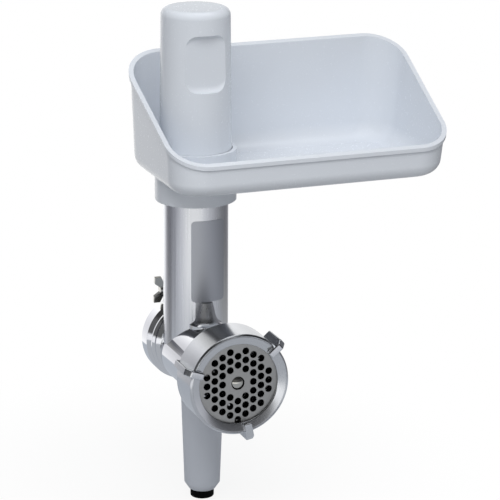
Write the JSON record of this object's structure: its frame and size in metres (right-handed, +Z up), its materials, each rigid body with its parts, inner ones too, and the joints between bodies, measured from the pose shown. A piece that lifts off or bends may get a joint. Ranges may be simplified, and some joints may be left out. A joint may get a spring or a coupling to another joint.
{
  "type": "meat grinder attachment",
  "caption": "Meat grinder attachment with an upright feed tube, open tray and pusher, a perforated plate behind a lugged ring nut, a rear drive collar and a leg.",
  "frame": {"origin": "centre of the drive bore on the rear face of the drive collar", "axes": "+Y to the rear along the drive bore, out of its mouth; +Z up along the feed tube; -Y towards the perforated plate; +X towards the long end of the tray"},
  "size_m": [0.2006, 0.1434, 0.3276],
  "materials": {
    "cast_aluminium": "cast aluminium, polished on the barrel and brushed on the feed tube",
    "turned_aluminium": "turned aluminium, satin with bright edges",
    "steel": "plain steel",
    "plate_steel": "ground steel, matt",
    "bronze": "sintered bronze",
    "rubber": "black moulded rubber",
    "white_plastic": "white acetal",
    "foil": "bare anodised foil",
    "grey_plastic": "pale cool grey moulded plastic, smooth",
    "leg_plastic": "mid grey moulded plastic, satin"
  },
  "bodies": {
    "housing": {"grinder_housing": "cast_aluminium", "drive_collar": "turned_aluminium", "collar_dowel": "steel", "rear_bush": "bronze", "shaft_seal": "rubber", "plate_key": "steel", "label_plate": "foil"},
    "worm": {"worm": "cast_aluminium", "drive_socket": "steel", "drive_pin": "steel", "thrust_washer": "white_plastic", "front_stud": "steel", "knife": "steel"},
    "plate": {"perforated_plate": "plate_steel"},
    "ring_nut": {"ring_nut": "turned_aluminium"},
    "tray": {"tray": "grey_plastic"},
    "pusher": {"pusher": "grey_plastic", "pusher_plug": "grey_plastic"},
    "leg": {"leg": "leg_plastic", "leg_stud": "steel", "leg_foot": "rubber"},
    "wing_screw": {"wing_screw": "steel"}
  },
  "joints": [
    {"name": "worm_spin", "type": "hinge", "parent": "housing", "child": "worm", "pos_m": [0, 0, 0], "axis": [0, 1, 0], "continuous": true},
    {"name": "plate_out", "type": "slide", "parent": "housing", "child": "plate", "axis": [0, -1, 0], "range_m": [0, 0.022]},
    {"name": "ring_nut_turn", "type": "hinge", "parent": "plate", "child": "ring_nut", "pos_m": [0, 0, 0], "axis": [0, -1, 0], "range_deg": [0, 1980]},
    {"name": "tray_lift", "type": "slide", "parent": "housing", "child": "tray", "axis": [0, 0, 1], "range_m": [0, 0.03]},
    {"name": "pusher_lift", "type": "slide", "parent": "tray", "child": "pusher", "axis": [0, 0, 1], "range_m": [0, 0.095]},
    {"name": "leg_turn", "type": "hinge", "parent": "housing", "child": "leg", "pos_m": [0, -0.0408, 0], "axis": [0, 0, 1], "continuous": true},
    {"name": "wing_screw_turn", "type": "hinge", "parent": "housing", "child": "wing_screw", "pos_m": [0, -0.0033, 0.0334], "axis": [-1, 0, 0], "continuous": true}
  ],
  "couplings": [
    {"joint": "plate_out", "follows": "ring_nut_turn", "m_per_rad": 0.00063662}
  ]
}
